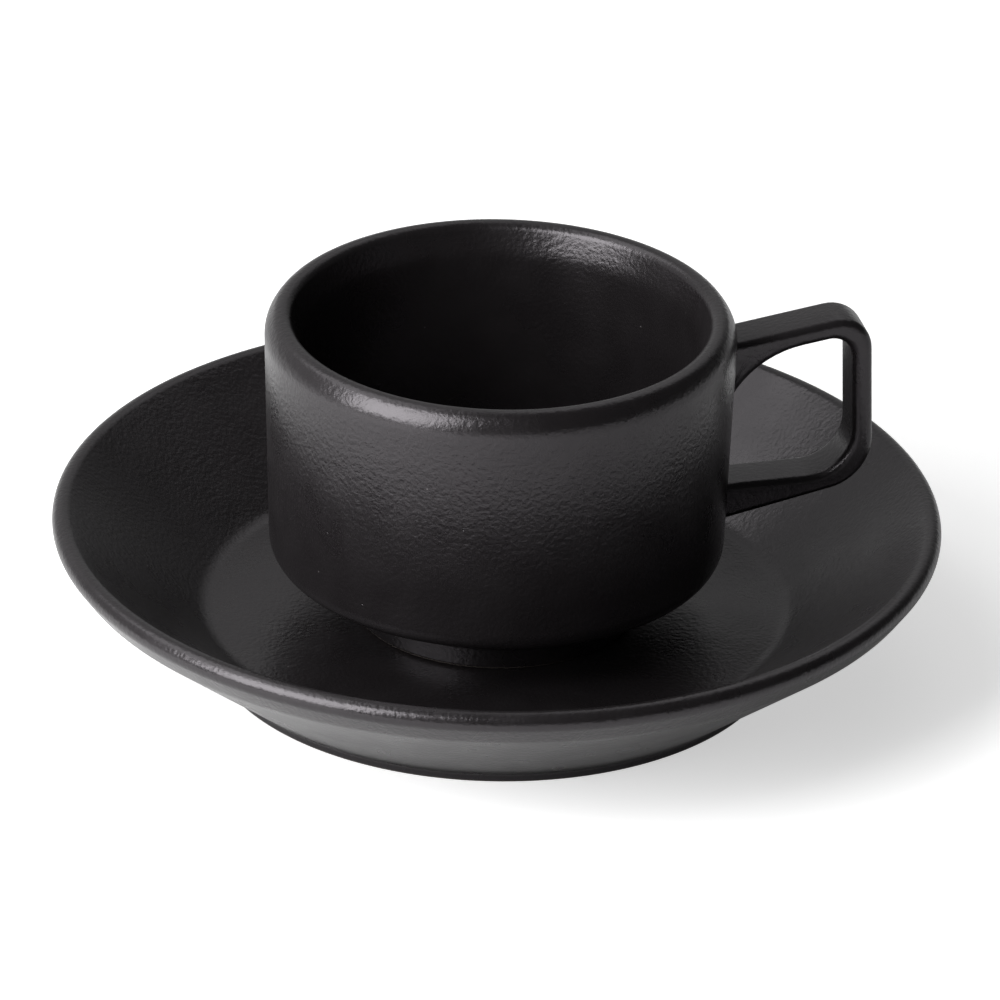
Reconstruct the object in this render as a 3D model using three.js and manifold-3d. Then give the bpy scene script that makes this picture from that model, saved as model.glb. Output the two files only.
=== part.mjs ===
// Espresso cup and saucer in satin black stoneware, in millimetres, with +Z up.
// The origin is the centre of the saucer's foot, on the table.
// Saucer and bowl are turned forms: each is a half section, drawn as corners and arcs and revolved.
// The handle is a squared loop, pressed by itself and luted to the bowl: its side outline is given
// the strap's width with rounded edges, and its two roots are cut to the outside of the bowl.
import * as THREE from 'three';
import { mergeVertices } from 'three/addons/utils/BufferGeometryUtils.js';
import Module from 'manifold-3d';

const wasm = await Module();
wasm.setup();

const degrees = THREE.MathUtils.degToRad;
const level = 0;
const upright = degrees(90);

// Fineness of round forms
const turnSteps = 64;
const chordError = 0.06;
const edgeSteps = 3;

// Share of an edge that the arcs at its two ends may take together
const edgeRoom = 0.96;

// Saucer
const saucerDiameter = 125;
const saucerHeight = 22.1;
const saucerWall = 4;
const saucerRimRound = 1.6;
const saucerRimBand = 5;
const saucerBandRound = 4;
const saucerFloorHeight = 7;
const saucerFloorRound = 4;
const saucerFootDiameter = 80.4;
const saucerFootHeight = 1.3;
const saucerFootWidth = 4.4;
const saucerFootRecess = 2.2;

// Bowl of the cup, from its own foot up
const cupDiameter = 66;
const cupHeight = 45.5;
const cupWall = 3.5;
const cupDraft = degrees(1.75);
const cupLipDrop = 3.6;
const cupLipInnerRound = 0.7;
const cupFloorHeight = 6.6;
const cupFloorRound = 12;
const cupShoulderRound = 3.5;
const cupUndersideSlope = degrees(27);
const cupFootDiameter = 40;
const cupFootHeight = 3.4;
const cupFootWidth = 3.4;
const cupFootRecess = 1.4;

// Small roundings where a foot ring was sponged
const footEdgeRound = 0.6;
const footRootRound = 0.9;

// Handle: heights at the side of the bowl, lengths outwards from it
const handleWidth = 7.2;
const handleStrap = 2.9;
const handleEdgeRound = 1.15;
const handleReach = 20.9;
const handleTopDrop = 6.1;
const handleTopSlope = degrees(9.2);
const handleLowHeight = 12.1;
const handleLowRoot = 5.4;
const handleLowSlope = degrees(12.5);
const handleSeatSlope = degrees(1);
const handleOuterLean = degrees(2.2);
const handleTopCornerRound = 5;
const handleLowCornerRound = 7.5;
const handleTopGapRound = 3;
const handleLowGapRound = 6.5;
const handleWebHeight = 34.6;
const handleWebLean = degrees(12);
const handleWebRound = 14;
const luteGap = 0.3;

// Glazes
const saucerGlaze = new THREE.MeshStandardMaterial({ color: 0x1c1b1d, roughness: 0.5, metalness: 0 });
const bowlGlaze = new THREE.MeshStandardMaterial({ color: 0x181719, roughness: 0.48, metalness: 0 });
const handleGlaze = new THREE.MeshStandardMaterial({ color: 0x19181a, roughness: 0.48, metalness: 0 });

// A point of a half section or side view: x outwards from the axis, y up.
function point(x, y) {
  return new THREE.Vector2(x, y);
}

// A corner of an outline, eased by an arc of the given radius.
function corner(at, round = 0) {
  return { at, round };
}

// A straight edge through a point, at an angle to the level.
function edge(at, angle) {
  return { at, along: point(Math.cos(angle), Math.sin(angle)) };
}

// The corner where two edges meet.
function meeting(first, second, round) {
  const distance = second.at.clone().sub(first.at).cross(second.along) / first.along.cross(second.along);
  return corner(first.at.clone().addScaledVector(first.along, distance), round);
}

// Points along an elliptic arc about a centre, from one angle to another.
function arc(centre, radiusX, radiusY, from, to) {
  const widestStep = 2 * Math.acos(1 - Math.min(1, chordError / Math.max(radiusX, radiusY)));
  const steps = Math.ceil(Math.abs(to - from) / widestStep);
  return Array.from({ length: steps + 1 }, (_, i) => {
    const angle = from + ((to - from) * i) / steps;
    return point(centre.x + radiusX * Math.cos(angle), centre.y + radiusY * Math.sin(angle));
  });
}

// Half of the angle between a corner's two edges.
function halfAngle({ at }, before, after) {
  return before.at.clone().sub(at).angleTo(after.at.clone().sub(at)) / 2;
}

// The arc that eases a corner, reaching a given length along both edges.
function easedCorner({ at }, before, after, reach) {
  const half = halfAngle({ at }, before, after);
  const radius = reach * Math.tan(half);
  const back = before.at.clone().sub(at).normalize();
  const ahead = after.at.clone().sub(at).normalize();
  const middle = back.clone().add(ahead).normalize();
  const centre = at.clone().addScaledVector(middle, radius / Math.sin(half));
  const start = at.clone().addScaledVector(back, reach).sub(centre).angle();
  const end = at.clone().addScaledVector(ahead, reach).sub(centre).angle();
  const turn = Math.atan2(Math.sin(end - start), Math.cos(end - start));
  return arc(centre, radius, radius, start, start + turn);
}

// An outline through corners, as points. Two arcs on an edge too short for both shrink alike.
function outline(corners) {
  const after = (i) => (i + 1) % corners.length;
  const neighbours = (i) => [corners.at(i - 1), corners[after(i)]];
  const reaches = corners.map((each, i) => each.round / Math.tan(halfAngle(each, ...neighbours(i))));
  const fit = (i, j) => {
    const length = corners.at(i).at.distanceTo(corners.at(j).at);
    return (edgeRoom * length) / (reaches.at(i) + reaches.at(j));
  };
  return corners.flatMap((each, i) => {
    if (each.round === 0) {
      return [each.at];
    }
    const reach = reaches[i] * Math.min(1, fit(i, i - 1), fit(i, after(i)));
    return easedCorner(each, ...neighbours(i), reach);
  });
}

// A turned solid from its half section, which starts and ends on the axis.
function revolve(section) {
  return new THREE.LatheGeometry(section, turnSteps).rotateX(upright);
}

// A closed geometry as a solid that can be cut: shared points merged, empty triangles dropped.
function toSolid(geometry) {
  const bare = geometry.clone();
  bare.deleteAttribute('normal');
  bare.deleteAttribute('uv');
  const merged = mergeVertices(bare, 1e-4);
  const index = merged.index.array;
  const triangles = [];
  for (let i = 0; i < index.length; i += 3) {
    const [a, b, c] = index.slice(i, i + 3);
    if (a !== b && b !== c && c !== a) {
      triangles.push(a, b, c);
    }
  }
  const vertProperties = new Float32Array(merged.attributes.position.array);
  return new wasm.Manifold(new wasm.Mesh({ numProp: 3, vertProperties, triVerts: new Uint32Array(triangles) }));
}

// A solid back as a geometry.
function toGeometry(solid) {
  const { vertProperties, triVerts } = solid.getMesh();
  const geometry = new THREE.BufferGeometry();
  geometry.setAttribute('position', new THREE.BufferAttribute(vertProperties, 3));
  geometry.setIndex(new THREE.BufferAttribute(triVerts, 1));
  geometry.computeVertexNormals();
  return geometry;
}

// A foot ring's corners, from the axis outwards along the recess, round the ring and up to its root.
function footCorners(radius, width, recess, height) {
  return [
    corner(point(0, recess)),
    corner(point(radius - width, recess), footRootRound),
    corner(point(radius - width, 0), footEdgeRound),
    corner(point(radius, 0), footEdgeRound),
    corner(point(radius, height), footRootRound),
  ];
}

// Saucer: the rim is a round bead, and the inside wall touches it and runs beside the underside.
function saucerSection() {
  const footRadius = saucerFootDiameter / 2;
  const bead = point(saucerDiameter / 2 - saucerRimRound, saucerHeight - saucerRimRound);
  const toBead = bead.clone().sub(point(footRadius, saucerFootHeight));
  const slope = toBead.angle() - Math.asin((saucerWall - saucerRimRound) / toBead.length());
  const underside = edge(point(footRadius, saucerFootHeight), slope);
  const band = meeting(underside, edge(point(0, saucerHeight - saucerRimBand), level), saucerBandRound);
  const toBand = bead.clone().sub(band.at);
  const bandSlope = toBand.angle() - Math.asin(saucerRimRound / toBand.length());
  const rimArc = (from, to) => arc(bead, saucerRimRound, saucerRimRound, from, to);
  const rim = [
    ...rimArc(bandSlope - upright, level),
    ...rimArc(level, upright).slice(1),
    ...rimArc(upright, upright + slope).slice(1),
  ];
  const inside = edge(rim.at(-1), slope);
  const floor = point(0, saucerFloorHeight);
  return outline([
    ...footCorners(footRadius, saucerFootWidth, saucerFootRecess, saucerFootHeight),
    band,
    ...rim.map((at) => corner(at)),
    meeting(inside, edge(floor, level), saucerFloorRound),
    corner(floor),
  ]);
}

// Outside of the bowl's wall, which leans out by the draft up to its widest point, where the lip starts.
function bowlWall() {
  return edge(point(cupDiameter / 2, cupHeight - cupLipDrop), upright - cupDraft);
}

// Outside of the bowl, from the shoulder up and over the lip's outer rounding to its crest.
function bowlOutside() {
  const underside = edge(point(cupFootDiameter / 2, cupFootHeight), cupUndersideSlope);
  const wall = bowlWall();
  const lipWidth = cupWall - cupLipInnerRound;
  const lip = arc(point(wall.at.x - lipWidth, wall.at.y), lipWidth, cupLipDrop, level, upright);
  return [meeting(underside, wall, cupShoulderRound), ...lip.map((at) => corner(at))];
}

// Bowl of the cup: foot ring, underside, wall, lip and the round-cornered inside.
function bowlSection() {
  const outside = bowlOutside();
  const crest = outside.at(-1).at;
  const lipCentre = point(crest.x, crest.y - cupLipInnerRound);
  const innerLip = arc(lipCentre, cupLipInnerRound, cupLipInnerRound, upright, 2 * upright).slice(1);
  const inside = edge(innerLip.at(-1), upright - cupDraft);
  const floor = point(0, cupFloorHeight);
  return outline([
    ...footCorners(cupFootDiameter / 2, cupFootWidth, cupFootRecess, cupFootHeight),
    ...outside,
    ...innerLip.map((at) => corner(at)),
    meeting(inside, edge(floor, level), cupFloorRound),
    corner(floor),
  ]);
}

// The bowl filled solid and grown by the film of slip that the handle is luted with.
function bowlEnvelope() {
  const footRoot = corner(point(cupFootDiameter / 2, cupFootHeight));
  const side = outline([footRoot, ...bowlOutside(), corner(point(0, cupHeight))]).slice(0, -1);
  const grown = side.map(({ x, y }) => point(x + luteGap, y));
  return revolve([point(0, cupFootHeight), ...grown, point(0, cupHeight)]);
}

// Side view of the handle: a loop round a finger gap.
// Inside the bowl the loop is closed, and that side of it is cut away with the roots.
function handleShape() {
  const side = cupDiameter / 2;
  const back = edge(point(side / 2, 0), upright);
  const top = edge(point(side, cupHeight - handleTopDrop), handleTopSlope);
  const outer = edge(point(side + handleReach, handleLowHeight), upright + handleOuterLean);
  const low = edge(point(side, handleLowHeight), handleLowSlope);
  const seat = edge(point(side, handleLowHeight + handleLowRoot), handleSeatSlope);
  const inner = edge(outer.at.clone().setX(outer.at.x - handleStrap), upright + handleOuterLean);
  const ceiling = edge(top.at.clone().setY(top.at.y - handleStrap), handleTopSlope);
  const web = edge(point(side, handleWebHeight), upright - handleWebLean);
  const shape = new THREE.Shape(outline([
    meeting(back, top),
    meeting(top, outer, handleTopCornerRound),
    meeting(outer, low, handleLowCornerRound),
    meeting(low, back),
  ]));
  shape.holes.push(new THREE.Path(outline([
    meeting(web, seat),
    meeting(seat, inner, handleLowGapRound),
    meeting(inner, ceiling, handleTopGapRound),
    meeting(ceiling, web, handleWebRound),
  ])));
  return shape;
}

// Handle: the loop given the strap's width, with rounded edges and its roots cut to the bowl.
function handleGeometry() {
  const round = Math.min(handleEdgeRound, (edgeRoom / 2) * Math.min(handleStrap, handleWidth));
  const depth = handleWidth - 2 * round;
  const loop = new THREE.ExtrudeGeometry(handleShape(), {
    depth,
    bevelEnabled: true,
    bevelThickness: round,
    bevelSize: round,
    bevelOffset: -round,
    bevelSegments: edgeSteps,
  });
  loop.translate(0, 0, -depth / 2).rotateX(upright);
  return toGeometry(toSolid(loop).subtract(toSolid(bowlEnvelope())));
}

// A named piece of the set.
function piece(name, geometry, glaze) {
  const mesh = new THREE.Mesh(geometry, glaze);
  mesh.name = name;
  return mesh;
}

// The cup stands on the saucer's floor, with its handle along +X.
const cup = new THREE.Group();
cup.position.z = saucerFloorHeight;
cup.add(piece('cup_body', revolve(bowlSection()), bowlGlaze));
cup.add(piece('cup_handle', handleGeometry(), handleGlaze));

const set = new THREE.Group();
set.add(piece('saucer', revolve(saucerSection()), saucerGlaze));
set.add(cup);

export default set;
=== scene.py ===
"""Builds a black stoneware espresso cup and its saucer around their fixed frame, in a white studio."""

import math

import bmesh
import bpy
from bpy.props import FloatProperty, FloatVectorProperty, PointerProperty
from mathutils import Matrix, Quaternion, Vector


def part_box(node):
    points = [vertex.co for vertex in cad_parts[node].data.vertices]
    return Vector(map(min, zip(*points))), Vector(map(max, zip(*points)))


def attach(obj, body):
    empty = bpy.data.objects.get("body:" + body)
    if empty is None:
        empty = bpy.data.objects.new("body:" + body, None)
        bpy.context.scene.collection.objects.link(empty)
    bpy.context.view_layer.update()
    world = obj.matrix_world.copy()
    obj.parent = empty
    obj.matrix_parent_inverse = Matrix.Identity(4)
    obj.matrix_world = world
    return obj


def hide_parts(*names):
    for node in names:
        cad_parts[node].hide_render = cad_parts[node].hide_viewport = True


bl_info = {
    "name": "Espresso Cup and Saucer",
    "version": (1, 0, 0),
    "blender": (4, 5, 0),
    "location": "3D View > Sidebar > Tableware",
    "description": "Builds a black stoneware espresso cup and its saucer, in a plain white studio",
    "category": "Mesh",
}

# The fixed frame, and the boxes of its pieces
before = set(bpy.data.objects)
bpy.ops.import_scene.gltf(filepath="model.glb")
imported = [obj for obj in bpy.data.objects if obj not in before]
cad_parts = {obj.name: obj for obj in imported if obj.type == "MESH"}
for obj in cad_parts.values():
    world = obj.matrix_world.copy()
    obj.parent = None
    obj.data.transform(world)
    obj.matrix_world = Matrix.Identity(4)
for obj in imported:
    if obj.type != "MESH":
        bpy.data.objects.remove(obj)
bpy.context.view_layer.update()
SAUCER_LOW, SAUCER_HIGH = (Vector(end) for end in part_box("saucer"))
BOWL_LOW, BOWL_HIGH = (Vector(end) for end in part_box("cup_body"))
HANDLE_LOW, HANDLE_HIGH = (Vector(end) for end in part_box("cup_handle"))

MM = 0.001

# Fineness of the meshes
TURN_STEPS = 224
ARC_STEP = math.radians(7)
LONGEST_STEP = 1.6 * MM
MERGE_DISTANCE = 0.001 * MM
LEAST_ARC_STEPS = 3
EDGE_SEGMENTS = 8
FLOOR_SEGMENTS = 64

# The span that a noise texture mostly stays within
NOISE_LOW = 0.3
NOISE_HIGH = 0.7

# Directions in a side view, with x outwards and z up
LEVEL = 0.0
UPRIGHT = math.radians(90)


def linear(hex_colour):
    """Linear red, green and blue of an sRGB hex colour."""
    shares = [int(hex_colour[i : i + 2], 16) / 255 for i in (1, 3, 5)]
    return [s / 12.92 if s <= 0.04045 else ((s + 0.055) / 1.055) ** 2.4 for s in shares]


def length(name, description, metres):
    """A property that holds a length."""
    return FloatProperty(
        name=name, description=description, default=metres, unit="LENGTH", precision=5
    )


def angle(name, description, degrees):
    """A property that holds an angle."""
    return FloatProperty(
        name=name, description=description, default=math.radians(degrees), subtype="ANGLE"
    )


def share(name, description, value):
    """A property that holds a share of one."""
    return FloatProperty(
        name=name, description=description, default=value, min=0.0, max=1.0, subtype="FACTOR"
    )


def level(name, description, value):
    """A property that holds a brightness."""
    return FloatProperty(name=name, description=description, default=value, min=0.0)


def power(name, description, watts):
    """A property that holds a lamp's power."""
    return FloatProperty(name=name, description=description, default=watts, min=0.0, unit="POWER")


def colour(name, description, hex_colour):
    """A property that holds a colour, from its sRGB hex value."""
    return FloatVectorProperty(
        name=name, description=description, default=linear(hex_colour), subtype="COLOR"
    )


class SaucerSizes(bpy.types.PropertyGroup):
    """Sizes of the saucer"""

    diameter: length("Diameter", "Across the rim", SAUCER_HIGH.x - SAUCER_LOW.x)
    height: length("Height", "From the table to the top of the rim", SAUCER_HIGH.z - SAUCER_LOW.z)
    wall: length("Wall", "Thickness of the sloping wall", 4.0 * MM)
    rim_round: length("Rim rounding", "Radius of the bead along the rim", 1.6 * MM)
    rim_band: length("Rim band", "Height of the steep band under the rim", 5.0 * MM)
    band_round: length("Band rounding", "Where the band turns into the underside", 4.0 * MM)
    floor_height: length("Floor height", "Of the floor under the cup", BOWL_LOW.z - SAUCER_LOW.z)
    floor_round: length("Floor rounding", "Where the floor turns up into the wall", 4.0 * MM)
    foot_diameter: length("Foot diameter", "Across the foot ring", 80.4 * MM)
    foot_height: length("Foot height", "From the table to the underside", 1.3 * MM)
    foot_width: length("Foot width", "Of the flat ring that the saucer stands on", 4.4 * MM)
    foot_recess: length("Foot recess", "Depth of the hollow inside the foot ring", 2.2 * MM)


class BowlSizes(bpy.types.PropertyGroup):
    """Sizes of the cup's bowl"""

    diameter: length("Diameter", "At the widest point, under the lip", BOWL_HIGH.x - BOWL_LOW.x)
    height: length("Height", "From the foot to the lip", BOWL_HIGH.z - BOWL_LOW.z)
    wall: length("Wall", "Thickness of the wall under the lip", 4.8 * MM)
    draft: angle("Draft", "How far the wall leans out", 1.75)
    lip_drop: length("Lip drop", "From the lip's top to the corner where the wall turns in", 2.11 * MM)
    lip_shelf: length("Lip shelf", "From the side to the corner where the lip turns level", 1.64 * MM)
    lip_side_round: length("Lip side rounding", "Where the wall turns into the lip", 3.9 * MM)
    lip_top_round: length("Lip top rounding", "Where the lip turns over its top", 1.8 * MM)
    lip_width: length("Lip width", "From the side to the lip's inner edge", 3.6 * MM)
    lip_inner_round: length("Lip inner rounding", "Of the lip's inner edge", 1.4 * MM)
    flare_drop: length("Flare drop", "Height over which the inside opens out to the lip", 4.5 * MM)
    flare_round: length("Flare rounding", "Where the inside starts to open out", 9.0 * MM)
    floor_height: length("Floor height", "From the foot to the floor inside", 6.6 * MM)
    floor_round: length("Floor rounding", "Where the floor inside turns up", 12.0 * MM)
    shoulder_round: length("Shoulder rounding", "Where the wall turns under", 3.5 * MM)
    underside_slope: angle("Underside slope", "Of the cone between foot and wall", 27.0)
    foot_diameter: length("Foot diameter", "Across the foot ring", 40.0 * MM)
    foot_height: length("Foot height", "From the foot's face to the underside", 3.4 * MM)
    foot_width: length("Foot width", "Of the flat ring that the cup stands on", 3.4 * MM)
    foot_recess: length("Foot recess", "Depth of the hollow inside the foot ring", 1.4 * MM)


class FootSizes(bpy.types.PropertyGroup):
    """Sizes that both foot rings share"""

    edge_round: length("Edge rounding", "Where the ring was sponged", 0.6 * MM)
    root_round: length("Root rounding", "Where the ring meets the body", 0.9 * MM)
    bare_height: length("Bare height", "How far up the ring was wiped free of glaze", 0.35 * MM)


class HandleSizes(bpy.types.PropertyGroup):
    """Sizes of the handle: heights where its edges meet the side of the bowl, and lengths out from there"""

    width: length("Width", "Across the strap", HANDLE_HIGH.y - HANDLE_LOW.y)
    strap: length("Strap", "Thickness of the strap", 2.9 * MM)
    edge_round: length("Edge rounding", "Along the strap's edges", 1.15 * MM)
    reach: length("Reach", "From the bowl to the foot of the outer leg", 20.9 * MM)
    top_height: length("Top height", "Of the top leg's upper side", 39.4 * MM)
    top_slope: angle("Top slope", "Of the top leg", 9.2)
    low_height: length("Low height", "Of the low leg's underside", 12.1 * MM)
    low_root: length("Low root", "Thickness of the low leg", 5.4 * MM)
    low_slope: angle("Low slope", "Of the low leg's underside", 12.5)
    seat_slope: angle("Seat slope", "Of the low leg's upper side", 1.0)
    outer_lean: angle("Outer lean", "Of the outer leg, towards the bowl", 2.2)
    top_corner_round: length("Top corner", "Rounding outside the top corner", 5.0 * MM)
    low_corner_round: length("Low corner", "Rounding outside the low corner", 7.5 * MM)
    top_gap_round: length("Top gap corner", "Rounding of the finger gap at the top corner", 3.0 * MM)
    low_gap_round: length("Low gap corner", "Rounding of the finger gap at the low corner", 6.5 * MM)
    web_height: length("Web height", "At which the web under the top leg meets the side", 34.6 * MM)
    web_round: length("Web rounding", "Where the web turns into the top leg", 14.0 * MM)
    web_lean: angle("Web lean", "Of the web where it starts", 12.0)
    root_depth: length("Root depth", "How far the roots reach into the bowl's side", 1.9 * MM)


class GlazeLook(bpy.types.PropertyGroup):
    """Finish of the glaze, and of the bare clay under the feet"""

    black: colour("Black", "Colour of the glaze", "#131112")
    thin: colour("Thin glaze", "Colour where the glaze lies thinner", "#1a1819")
    speck: colour("Speck", "Colour of the pale specks", "#4a4748")
    gloss: colour("Gloss", "Colour of the glaze's reflections", "#fff9ff")
    roughness: share("Roughness", "Of the satin surface", 0.29)
    roughness_spread: share("Roughness spread", "Between glossier and duller patches", 0.06)
    peel: length("Peel", "Spacing of the fine pebbling", 0.65 * MM)
    peel_depth: length("Peel depth", "Depth of the fine pebbling", 0.07 * MM)
    swell: length("Swell", "Spacing of the slow unevenness", 7.0 * MM)
    swell_depth: length("Swell depth", "Depth of the slow unevenness", 0.05 * MM)
    speck_spacing: length("Speck spacing", "Between specks and pinholes", 4.0 * MM)
    speck_size: length("Speck size", "Across a speck or pinhole", 0.34 * MM)
    pale_share: share("Pale share", "Of the spots that are pale specks", 0.2)
    pit_share: share("Pit share", "Of the spots that are pinholes", 0.15)
    ior: FloatProperty(name="IOR", description="Of the glaze", default=1.5, min=1.0)
    clay: colour("Clay", "Colour of the bare clay", "#3a3532")
    sand: colour("Sand", "Colour of the sand grains in the clay", "#5c544e")
    clay_roughness: share("Clay roughness", "Of the bare clay", 0.85)
    grain: length("Grain", "Spacing of the sand grains", 0.5 * MM)
    grain_depth: length("Grain depth", "How far the sand grains stand out", 0.05 * MM)


class StageLook(bpy.types.PropertyGroup):
    """Floor, light and camera"""

    floor: colour("Floor", "Colour of the plain floor", "#eeeeee")
    floor_lift: share("Floor lift", "White that the floor shows on top of its own light", 0.55)
    floor_gleam: share("Floor gleam", "White that the floor shows on top in reflections", 0.1)
    floor_radius: length("Floor radius", "Of the whole floor", 6.0)
    shade_radius: length("Shade radius", "Within which the floor shows shade", 0.24)
    white_radius: length("White radius", "Beyond which the floor is plain white", 0.55)
    key_azimuth: angle("Key azimuth", "Of the main soft box, from straight in front", -64.0)
    key_elevation: angle("Key elevation", "Of the main soft box above the table", 30.0)
    key_distance: length("Key distance", "From the main soft box to the cup", 0.32)
    key_size: length("Key size", "Across the main soft box", 0.26)
    key_power: power("Key power", "Of the main soft box", 2.0)
    back_azimuth: angle("Back azimuth", "Of the soft box behind the cup, from straight in front", -118.0)
    back_elevation: angle("Back elevation", "Of the soft box behind the cup, above the table", 56.0)
    back_distance: length("Back distance", "From the soft box behind the cup to it", 0.6)
    back_size: length("Back size", "Across the soft box behind the cup", 0.4)
    back_power: power("Back power", "Of the soft box behind the cup", 1.0)
    side_azimuth: angle("Side azimuth", "Of the far side's soft box, from straight in front", 141.0)
    side_elevation: angle("Side elevation", "Of the far side's soft box, above the table", 52.0)
    side_distance: length("Side distance", "From the far side's soft box to the cup", 0.6)
    side_size: length("Side size", "Across the far side's soft box", 0.35)
    side_power: power("Side power", "Of the far side's soft box", 0.2)
    sky_azimuth: angle("Sky azimuth", "Of the studio's bright side, from straight in front", -150.0)
    sky_elevation: angle("Sky elevation", "Of the studio's bright side, above the table", 18.0)
    sky_bright: level("Bright sky", "Brightness of the studio's bright side", 0.6)
    sky_dim: level("Dim sky", "Brightness of the studio's dim side", 0.06)
    view_azimuth: angle("View azimuth", "Of the camera, from straight in front", -13.5)
    view_elevation: angle("View elevation", "Of the camera above the table", 26.8)
    view_roll: angle("View roll", "Of the camera about its own axis", 1.3)
    view_distance: length("View distance", "From the camera to the point it aims at", 1.4)
    view_height: length("View height", "Of the point that the camera aims at", 23.43 * MM)
    view_offset: length("View offset", "Of the point that the camera aims at, to the right", 0.39 * MM)
    lens: FloatProperty(
        name="Lens", description="Focal length of the camera", default=358.8, subtype="DISTANCE_CAMERA"
    )


def flat(x, z):
    """A point or a direction of a side view."""
    return Vector((x, 0.0, z))


def corner(at, rounding=0.0):
    """A corner of an outline, with the radius that eases it."""
    return at, rounding


def slope_of(step):
    """Slope of a step in a side view."""
    return math.atan2(step.z, step.x)


def meeting(first, second):
    """The point where two straight edges meet, each given as a point and a slope."""
    (start, slope), (other, other_slope) = first, second
    along = flat(math.cos(slope), math.sin(slope))
    across = flat(-math.sin(other_slope), math.cos(other_slope))
    return start + along * ((other - start).dot(across) / along.dot(across))


def pointing(azimuth, elevation):
    """Direction from the cup, by an azimuth from straight in front and an elevation."""
    forward = math.cos(elevation)
    sideways = math.sin(azimuth) * forward
    return Vector((sideways, -math.cos(azimuth) * forward, math.sin(elevation)))


def draw_line(mesh, tip, to):
    """Extrudes a wire's last vertex to a point, and returns the new last vertex."""
    new_tip = bmesh.ops.extrude_vert_indiv(mesh, verts=[tip])["verts"][0]
    new_tip.co = to
    return new_tip


def draw_arc(mesh, tip, centre, turn, steps):
    """Spins a wire's last vertex about a centre, and returns the new last vertex."""
    spun = bmesh.ops.spin(mesh, geom=[tip], cent=centre, axis=(0, -1, 0), angle=turn, steps=steps)
    return next(part for part in spun["geom_last"] if isinstance(part, bmesh.types.BMVert))


def draw_outline(mesh, corners, arc_steps=None):
    """Draws a wire through corners, with arcs round the eased ones, and returns its straight edges."""
    tip = mesh.verts.new(corners[0][0])
    straights = []
    for (before, _), (at, rounding), (after, _) in zip(corners, corners[1:], corners[2:]):
        back = (before - at).normalized()
        ahead = (after - at).normalized()
        half = back.angle(ahead) / 2
        tip = draw_line(mesh, tip, at + back * (rounding / math.tan(half)))
        straights.append(tip.link_edges[0])
        if rounding > 0.0:
            centre = at + (back + ahead).normalized() * (rounding / math.sin(half))
            turn = math.copysign(math.pi - 2 * half, back.cross(ahead).y)
            steps = arc_steps or max(LEAST_ARC_STEPS, math.ceil(abs(turn) / ARC_STEP))
            tip = draw_arc(mesh, tip, centre, turn, steps)
    tip = draw_line(mesh, tip, corners[-1][0])
    straights.append(tip.link_edges[0])
    return straights


def turned(corners, height):
    """A turned form: its half section is drawn, set at a height and spun round the upright axis."""
    mesh = bmesh.new()
    for edge in draw_outline(mesh, corners):
        cuts = int(edge.calc_length() / LONGEST_STEP)
        if cuts > 0:
            bmesh.ops.subdivide_edges(mesh, edges=[edge], cuts=cuts)
    bmesh.ops.remove_doubles(mesh, verts=mesh.verts[:], dist=MERGE_DISTANCE)
    bmesh.ops.translate(mesh, verts=mesh.verts[:], vec=(0, 0, height))
    section = mesh.verts[:] + mesh.edges[:]
    bmesh.ops.spin(
        mesh,
        geom=section,
        cent=(0, 0, 0),
        axis=(0, 0, 1),
        angle=math.tau,
        steps=TURN_STEPS,
        use_merge=True,
    )
    return mesh


def wipe_foot(mesh, height):
    """Gives the second finish to the faces of a foot ring, below the height where the glaze starts."""
    for face in mesh.faces:
        if max(vert.co.z for vert in face.verts) < height:
            face.material_index = 1


def finish_piece(name, mesh, body, node, finishes):
    """Closes a mesh and makes it a piece that rides on a body in place of a node."""
    bmesh.ops.remove_doubles(mesh, verts=mesh.verts[:], dist=MERGE_DISTANCE)
    bmesh.ops.recalc_face_normals(mesh, faces=mesh.faces[:])
    data = bpy.data.meshes.new(name)
    mesh.to_mesh(data)
    mesh.free()
    data.shade_smooth()
    for finish in finishes:
        data.materials.append(finish)
    piece = bpy.data.objects.new(name, data)
    bpy.context.scene.collection.objects.link(piece)
    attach(piece, body)
    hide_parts(node)


def add_node(tree, kind, inputs=(), **settings):
    """Adds a node with its settings. An input is a value, or a socket to link from."""
    node = tree.nodes.new(kind)
    for name, value in settings.items():
        setattr(node, name, value)
    for socket, value in dict(inputs).items():
        if isinstance(value, bpy.types.NodeSocket):
            tree.links.new(value, node.inputs[socket])
        else:
            node.inputs[socket].default_value = value
    return node


def new_material(name):
    """An empty material, and its node tree."""
    material = bpy.data.materials.new(name)
    material.use_nodes = True
    material.node_tree.nodes.clear()
    return material, material.node_tree


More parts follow.
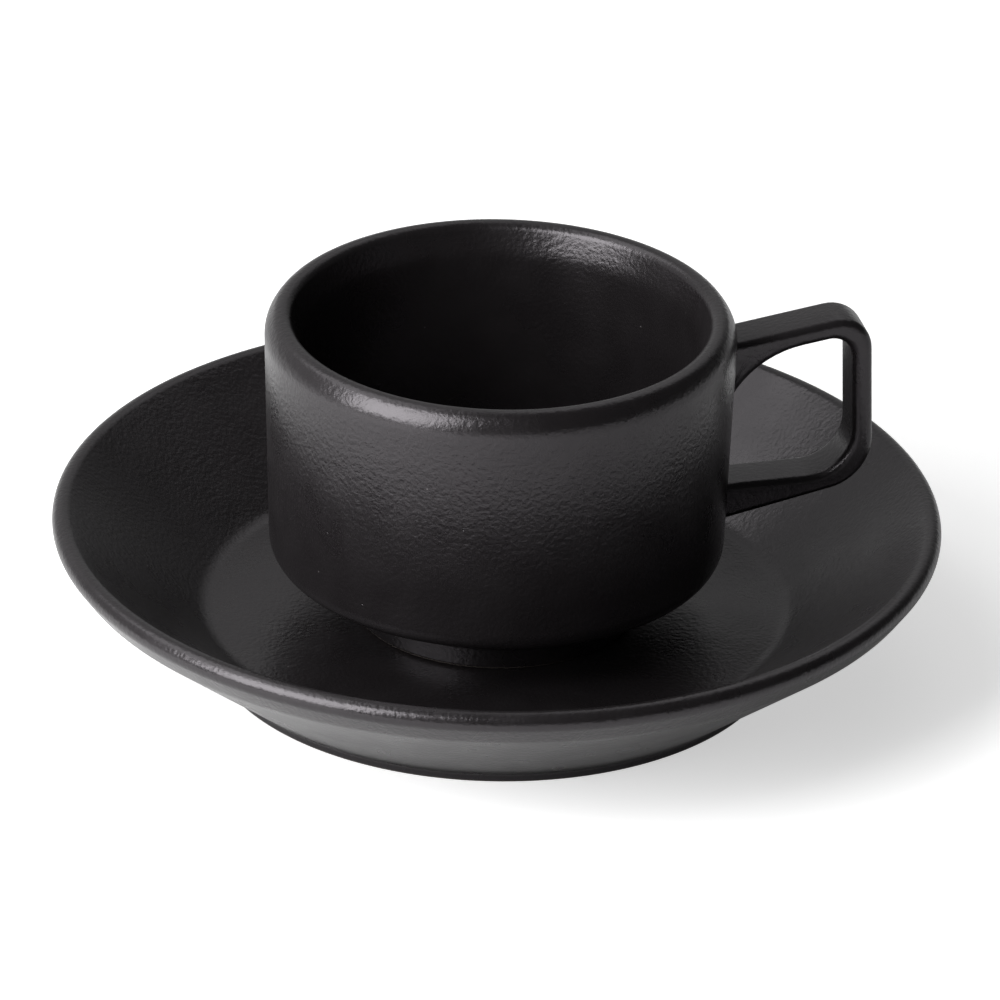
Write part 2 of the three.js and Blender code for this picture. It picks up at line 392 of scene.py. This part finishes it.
def satin_black_glaze(look):
    """Satin black glaze on stoneware: near black and softly glossy, with pebbled highlights, cloudy
    patches of duller gloss, and a few pale specks and pinholes."""
    name = "satin_black_glaze"
    if name in bpy.data.materials:
        return bpy.data.materials[name]
    material, tree = new_material(name)
    place = add_node(tree, "ShaderNodeTexCoord").outputs["Object"]
    fine = {"Vector": place, "Scale": 1 / look.peel, "Detail": 2.0}
    peel = add_node(tree, "ShaderNodeTexNoise", fine)
    slow = {"Vector": place, "Scale": 1 / look.swell, "Detail": 1.0}
    swell = add_node(tree, "ShaderNodeTexNoise", slow)

    # A round spot in the middle of each cell: pale in some cells, a pinhole in others
    spacing = {"Vector": place, "Scale": 1 / look.speck_spacing}
    cells = add_node(tree, "ShaderNodeTexVoronoi", spacing)
    rim = look.speck_size / 2 / look.speck_spacing
    spot = add_node(
        tree,
        "ShaderNodeMapRange",
        {"Value": cells.outputs["Distance"], "From Min": rim, "From Max": rim / 2},
    )
    drawn = add_node(tree, "ShaderNodeSeparateColor", {"Color": cells.outputs["Color"]})
    lot = drawn.outputs["Red"]
    is_pale = add_node(tree, "ShaderNodeMath", {0: lot, 1: 1 - look.pale_share}, operation="GREATER_THAN")
    is_pit = add_node(tree, "ShaderNodeMath", {0: lot, 1: look.pit_share}, operation="LESS_THAN")
    pale, pit = (
        add_node(tree, "ShaderNodeMath", {0: spot.outputs[0], 1: kind.outputs[0]}, operation="MULTIPLY")
        for kind in (is_pale, is_pit)
    )

    # Cloudy colour and gloss
    cloud = add_node(
        tree,
        "ShaderNodeMix",
        {"Factor": swell.outputs[0], "A": (*look.black, 1), "B": (*look.thin, 1)},
        data_type="RGBA",
    )
    specked = add_node(
        tree,
        "ShaderNodeMix",
        {"Factor": pale.outputs[0], "A": cloud.outputs["Result"], "B": (*look.speck, 1)},
        data_type="RGBA",
    )
    dullest = look.roughness + look.roughness_spread / 2
    glossiest = look.roughness - look.roughness_spread / 2
    satin = add_node(
        tree,
        "ShaderNodeMapRange",
        {
            "Value": swell.outputs[0],
            "From Min": NOISE_LOW,
            "From Max": NOISE_HIGH,
            "To Min": glossiest,
            "To Max": dullest,
        },
    )

    # Relief, from the slowest to the finest
    relief = add_node(tree, "ShaderNodeBump", {"Height": swell.outputs[0], "Distance": look.swell_depth})
    relief = add_node(
        tree,
        "ShaderNodeBump",
        {"Height": peel.outputs[0], "Distance": look.peel_depth, "Normal": relief.outputs[0]},
    )
    relief = add_node(
        tree,
        "ShaderNodeBump",
        {"Height": pit.outputs[0], "Distance": look.peel_depth, "Normal": relief.outputs[0]},
        invert=True,
    )
    surface = add_node(
        tree,
        "ShaderNodeBsdfPrincipled",
        {
            "Base Color": specked.outputs["Result"],
            "Roughness": satin.outputs[0],
            "Normal": relief.outputs[0],
            "IOR": look.ior,
            "Specular Tint": (*look.gloss, 1),
        },
    )
    add_node(tree, "ShaderNodeOutputMaterial", {"Surface": surface.outputs[0]})
    return material


def bare_stoneware(look):
    """Bare dark stoneware where a foot ring was wiped clean: dull, with paler grains of sand."""
    name = "bare_stoneware"
    if name in bpy.data.materials:
        return bpy.data.materials[name]
    material, tree = new_material(name)
    place = add_node(tree, "ShaderNodeTexCoord").outputs["Object"]
    sandy = {"Vector": place, "Scale": 1 / look.grain, "Detail": 3.0}
    grains = add_node(tree, "ShaderNodeTexNoise", sandy)
    clay = add_node(
        tree,
        "ShaderNodeMix",
        {"Factor": grains.outputs[0], "A": (*look.clay, 1), "B": (*look.sand, 1)},
        data_type="RGBA",
    )
    relief = add_node(tree, "ShaderNodeBump", {"Height": grains.outputs[0], "Distance": look.grain_depth})
    surface = add_node(
        tree,
        "ShaderNodeBsdfPrincipled",
        {
            "Base Color": clay.outputs["Result"],
            "Roughness": look.clay_roughness,
            "Normal": relief.outputs[0],
        },
    )
    add_node(tree, "ShaderNodeOutputMaterial", {"Surface": surface.outputs[0]})
    return material


def foot_corners(size, foot):
    """Corners of a foot ring, from the axis along the recess, round the ring and up to its root."""
    outer = size.foot_diameter / 2
    inner = outer - size.foot_width
    return [
        corner(flat(0, size.foot_recess)),
        corner(flat(inner, size.foot_recess), foot.root_round),
        corner(flat(inner, 0), foot.edge_round),
        corner(flat(outer, 0), foot.edge_round),
        corner(flat(outer, size.foot_height), foot.root_round),
    ]


def saucer_corners(size, foot):
    """Half section of the saucer: its inside wall runs beside the underside, and the rim is a bead."""
    radius = size.diameter / 2
    foot_root = flat(size.foot_diameter / 2, size.foot_height)
    bead = flat(radius - size.rim_round, size.height - size.rim_round)
    to_bead = bead - foot_root
    slope = slope_of(to_bead) - math.asin((size.wall - size.rim_round) / to_bead.length)
    band = meeting((foot_root, slope), (flat(0, size.height - size.rim_band), LEVEL))
    to_rim = bead - band
    band_slope = slope_of(to_rim) - math.asin(size.rim_round / to_rim.length)
    upward = flat(-math.sin(slope), math.cos(slope))
    side = (flat(radius, 0), UPRIGHT)
    top = (flat(0, size.height), LEVEL)
    inside = (bead + upward * size.rim_round, slope)
    floor = flat(0, size.floor_height)
    return [
        *foot_corners(size, foot),
        corner(band, size.band_round),
        corner(meeting((band, band_slope), side), size.rim_round),
        corner(meeting(side, top), size.rim_round),
        corner(meeting(top, inside), size.rim_round),
        corner(meeting(inside, (floor, LEVEL)), size.floor_round),
        corner(floor),
    ]


def bowl_corners(size, foot):
    """Half section of the bowl: foot ring, underside, wall, lip, and an inside that opens to the lip."""
    radius = size.diameter / 2
    foot_root = flat(size.foot_diameter / 2, size.foot_height)
    lip_side = flat(radius, size.height - size.lip_drop)
    inner_lip = flat(radius - size.lip_width, size.height)
    flare = flat(radius - size.wall, size.height - size.flare_drop)
    wall = (lip_side, UPRIGHT - size.draft)
    inside = (flare, UPRIGHT - size.draft)
    floor = flat(0, size.floor_height)
    return [
        *foot_corners(size, foot),
        corner(meeting((foot_root, size.underside_slope), wall), size.shoulder_round),
        corner(lip_side, size.lip_side_round),
        corner(flat(radius - size.lip_shelf, size.height), size.lip_top_round),
        corner(inner_lip, size.lip_inner_round),
        corner(flare, size.flare_round),
        corner(meeting(inside, (floor, LEVEL)), size.floor_round),
        corner(floor),
    ]


def handle_outlines(size, side):
    """Outer and inner outline of the handle beside a bowl's side: each goes out along the top leg, down
    the outer leg and back along the low leg."""
    outer_slope = UPRIGHT + size.outer_lean
    outer_foot = flat(side + size.reach, size.low_height)
    back = (flat(side - size.root_depth, 0), UPRIGHT)
    top = (flat(side, size.top_height), size.top_slope)
    outer = (outer_foot, outer_slope)
    low = (flat(side, size.low_height), size.low_slope)
    web = (flat(side, size.web_height), UPRIGHT - size.web_lean)
    ceiling = (flat(side, size.top_height - size.strap), size.top_slope)
    inner = (outer_foot - flat(size.strap, 0), outer_slope)
    seat = (flat(side, size.low_height + size.low_root), size.seat_slope)
    outside = [
        corner(meeting(back, top)),
        corner(meeting(top, outer), size.top_corner_round),
        corner(meeting(outer, low), size.low_corner_round),
        corner(meeting(low, back)),
    ]
    gap = [
        corner(meeting(back, web)),
        corner(meeting(web, ceiling), size.web_round),
        corner(meeting(ceiling, inner), size.top_gap_round),
        corner(meeting(inner, seat), size.low_gap_round),
        corner(meeting(seat, back)),
    ]
    return outside, gap


class TABLEWARE_OT_saucer(bpy.types.Operator):
    """Builds the saucer"""

    bl_idname = "tableware.saucer"
    bl_label = "Saucer"

    def execute(self, context):
        scene = context.scene
        mesh = turned(saucer_corners(scene.saucer_sizes, scene.foot_sizes), SAUCER_LOW.z)
        wipe_foot(mesh, SAUCER_LOW.z + scene.foot_sizes.bare_height)
        finishes = [satin_black_glaze(scene.glaze_look), bare_stoneware(scene.glaze_look)]
        finish_piece("glazed_saucer", mesh, "saucer", "saucer", finishes)
        return {"FINISHED"}


class TABLEWARE_OT_bowl(bpy.types.Operator):
    """Builds the bowl of the cup"""

    bl_idname = "tableware.bowl"
    bl_label = "Bowl"

    def execute(self, context):
        scene = context.scene
        mesh = turned(bowl_corners(scene.bowl_sizes, scene.foot_sizes), BOWL_LOW.z)
        wipe_foot(mesh, BOWL_LOW.z + scene.foot_sizes.bare_height)
        finishes = [satin_black_glaze(scene.glaze_look), bare_stoneware(scene.glaze_look)]
        finish_piece("glazed_bowl", mesh, "cup", "cup_body", finishes)
        return {"FINISHED"}


class TABLEWARE_OT_handle(bpy.types.Operator):
    """Builds the handle of the cup"""

    bl_idname = "tableware.handle"
    bl_label = "Handle"

    # Divisions of each corner, and of each straight stretch along the outside and along the gap
    CORNER_STEPS = 12
    OUTSIDE_PARTS = (30, 12, 16)
    GAP_PARTS = (6, 12, 12, 16)

    def execute(self, context):
        scene = context.scene
        size = scene.handle_sizes
        mesh = bmesh.new()
        outlines = handle_outlines(size, scene.bowl_sizes.diameter / 2)
        for corners, parts in zip(outlines, (self.OUTSIDE_PARTS, self.GAP_PARTS)):
            for edge, count in zip(draw_outline(mesh, corners, self.CORNER_STEPS), parts):
                bmesh.ops.subdivide_edges(mesh, edges=[edge], cuts=count - 1)
        bmesh.ops.bridge_loops(mesh, edges=mesh.edges[:])
        bmesh.ops.translate(mesh, verts=mesh.verts[:], vec=(0, -size.width / 2, BOWL_LOW.z))
        strip = bmesh.ops.extrude_face_region(mesh, geom=mesh.faces[:])
        far_side = [part for part in strip["geom"] if isinstance(part, bmesh.types.BMVert)]
        bmesh.ops.translate(mesh, verts=far_side, vec=(0, size.width, 0))
        bmesh.ops.recalc_face_normals(mesh, faces=mesh.faces[:])
        root = scene.bowl_sizes.diameter / 2 - size.root_depth + MERGE_DISTANCE
        sharp = [
            edge
            for edge in mesh.edges
            if edge.calc_face_angle() > UPRIGHT / 2 and max(vert.co.x for vert in edge.verts) > root
        ]
        bmesh.ops.bevel(
            mesh,
            geom=sharp,
            offset=size.edge_round,
            offset_type="OFFSET",
            affect="EDGES",
            segments=EDGE_SEGMENTS,
            profile=0.5,
            material=-1,
        )
        finish_piece("glazed_handle", mesh, "cup", "cup_handle", [satin_black_glaze(scene.glaze_look)])
        return {"FINISHED"}


def white_floor(look):
    """Plain white studio floor: takes soft shade near the cup, and clears to plain white further out."""
    material, tree = new_material("white_floor")
    place = add_node(tree, "ShaderNodeTexCoord").outputs["Object"]
    reach = add_node(tree, "ShaderNodeVectorMath", {0: place}, operation="LENGTH")
    clear = add_node(
        tree,
        "ShaderNodeMapRange",
        {"Value": reach.outputs["Value"], "From Min": look.shade_radius, "From Max": look.white_radius},
        interpolation_type="SMOOTHSTEP",
    )
    paths = add_node(tree, "ShaderNodeLightPath")
    mirrored = add_node(
        tree,
        "ShaderNodeMath",
        {0: paths.outputs["Is Glossy Ray"], 1: paths.outputs["Is Transmission Ray"]},
        operation="MAXIMUM",
    )
    gleam = add_node(
        tree, "ShaderNodeMath", {0: mirrored.outputs[0], 1: look.floor_gleam}, operation="MULTIPLY"
    )
    lift = add_node(
        tree,
        "ShaderNodeMath",
        {0: paths.outputs["Is Camera Ray"], 1: look.floor_lift, 2: gleam.outputs[0]},
        operation="MULTIPLY_ADD",
    )
    surface = add_node(
        tree,
        "ShaderNodeBsdfPrincipled",
        {
            "Base Color": (*look.floor, 1),
            "Roughness": 1.0,
            "Specular IOR Level": 0.0,
            "Emission Color": (1, 1, 1, 1),
            "Emission Strength": lift.outputs[0],
        },
    )
    plain = add_node(tree, "ShaderNodeEmission", {"Strength": 1.0})
    mixed = add_node(
        tree, "ShaderNodeMixShader", {0: clear.outputs[0], 1: surface.outputs[0], 2: plain.outputs[0]}
    )
    add_node(tree, "ShaderNodeOutputMaterial", {"Surface": mixed.outputs[0]})
    return material


def studio_sky(scene, look):
    """Pale studio all round: plain white to the camera, with a bright and a dim side to the cup."""
    world = bpy.data.worlds.new("studio_sky")
    world.use_nodes = True
    tree = world.node_tree
    tree.nodes.clear()
    way = add_node(tree, "ShaderNodeTexCoord").outputs["Generated"]
    bright_side = pointing(look.sky_azimuth, look.sky_elevation)
    near = add_node(tree, "ShaderNodeVectorMath", {0: way, 1: bright_side}, operation="DOT_PRODUCT")
    glow = add_node(
        tree,
        "ShaderNodeMapRange",
        {"Value": near.outputs["Value"], "To Min": look.sky_dim, "To Max": look.sky_bright},
        interpolation_type="SMOOTHSTEP",
    )
    paths = add_node(tree, "ShaderNodeLightPath")
    strength = add_node(
        tree, "ShaderNodeMix", {"Factor": paths.outputs["Is Camera Ray"], "A": glow.outputs[0], "B": 1.0}
    )
    sky = add_node(tree, "ShaderNodeBackground", {"Strength": strength.outputs["Result"]})
    add_node(tree, "ShaderNodeOutputWorld", {"Surface": sky.outputs[0]})
    scene.world = world


def add_floor(scene, look):
    """A large round floor at the table's level."""
    mesh = bmesh.new()
    bmesh.ops.create_circle(mesh, cap_ends=True, radius=look.floor_radius, segments=FLOOR_SEGMENTS)
    bmesh.ops.translate(mesh, verts=mesh.verts[:], vec=(0, 0, SAUCER_LOW.z))
    data = bpy.data.meshes.new("studio_floor")
    mesh.to_mesh(data)
    mesh.free()
    data.materials.append(white_floor(look))
    floor = bpy.data.objects.new("studio_floor", data)
    scene.collection.objects.link(floor)


def add_soft_box(scene, look, name):
    """A square soft box that faces the cup, placed by the settings that start with its name."""
    lamp = bpy.data.lights.new(name + "_box", "AREA")
    lamp.size = getattr(look, name + "_size")
    lamp.energy = getattr(look, name + "_power")
    light = bpy.data.objects.new(name + "_box", lamp)
    toward = pointing(getattr(look, name + "_azimuth"), getattr(look, name + "_elevation"))
    light.location = Vector((0, 0, look.view_height)) + toward * getattr(look, name + "_distance")
    light.rotation_euler = toward.to_track_quat("Z", "Y").to_euler()
    light.visible_camera = False
    scene.collection.objects.link(light)


def add_camera(scene, look):
    """The camera, far off and slightly above, with a long lens."""
    camera = bpy.data.objects.new("photo_camera", bpy.data.cameras.new("photo_camera"))
    camera.data.lens = look.lens
    camera.data.clip_end = 4 * look.floor_radius
    back = pointing(look.view_azimuth, look.view_elevation)
    right = Vector((math.cos(look.view_azimuth), math.sin(look.view_azimuth), 0))
    aim = Vector((0, 0, look.view_height)) + right * look.view_offset
    camera.location = aim + back * look.view_distance
    roll = Quaternion((0, 0, 1), look.view_roll)
    camera.rotation_euler = (back.to_track_quat("Z", "Y") @ roll).to_euler()
    scene.collection.objects.link(camera)
    scene.camera = camera


class TABLEWARE_OT_stage(bpy.types.Operator):
    """Builds the floor, the light and the camera"""

    bl_idname = "tableware.stage"
    bl_label = "Stage"

    def execute(self, context):
        scene = context.scene
        look = scene.stage_look
        add_camera(scene, look)
        add_floor(scene, look)
        for name in ("key", "back", "side"):
            add_soft_box(scene, look, name)
        studio_sky(scene, look)
        scene.view_settings.view_transform = "Standard"
        return {"FINISHED"}


class TABLEWARE_PT_panel(bpy.types.Panel):
    """Lists what can be built"""

    bl_idname = "TABLEWARE_PT_panel"
    bl_label = "Espresso cup and saucer"
    bl_space_type = "VIEW_3D"
    bl_region_type = "UI"
    bl_category = "Tableware"

    def draw(self, context):
        for operator in OPERATORS:
            self.layout.operator(operator.bl_idname)
        for group in GROUPS:
            settings = getattr(context.scene, group)
            box = self.layout.box()
            box.label(text=settings.bl_rna.description)
            for name in settings.__annotations__:
                box.prop(settings, name)


GROUPS = {
    "saucer_sizes": SaucerSizes,
    "bowl_sizes": BowlSizes,
    "foot_sizes": FootSizes,
    "handle_sizes": HandleSizes,
    "glaze_look": GlazeLook,
    "stage_look": StageLook,
}
OPERATORS = [TABLEWARE_OT_stage, TABLEWARE_OT_saucer, TABLEWARE_OT_bowl, TABLEWARE_OT_handle]
CLASSES = [*GROUPS.values(), *OPERATORS, TABLEWARE_PT_panel]


def register():
    """Registers the classes and adds the settings to the scene."""
    for kind in CLASSES:
        bpy.utils.register_class(kind)
    for name, kind in GROUPS.items():
        setattr(bpy.types.Scene, name, PointerProperty(type=kind))


def unregister():
    """Takes the settings from the scene and unregisters the classes."""
    for name in GROUPS:
        delattr(bpy.types.Scene, name)
    for kind in reversed(CLASSES):
        bpy.utils.unregister_class(kind)


def main():
    """Builds everything."""
    register()
    bpy.ops.tableware.stage()
    bpy.ops.tableware.saucer()
    bpy.ops.tableware.bowl()
    bpy.ops.tableware.handle()


if __name__ == "__main__":
    main()
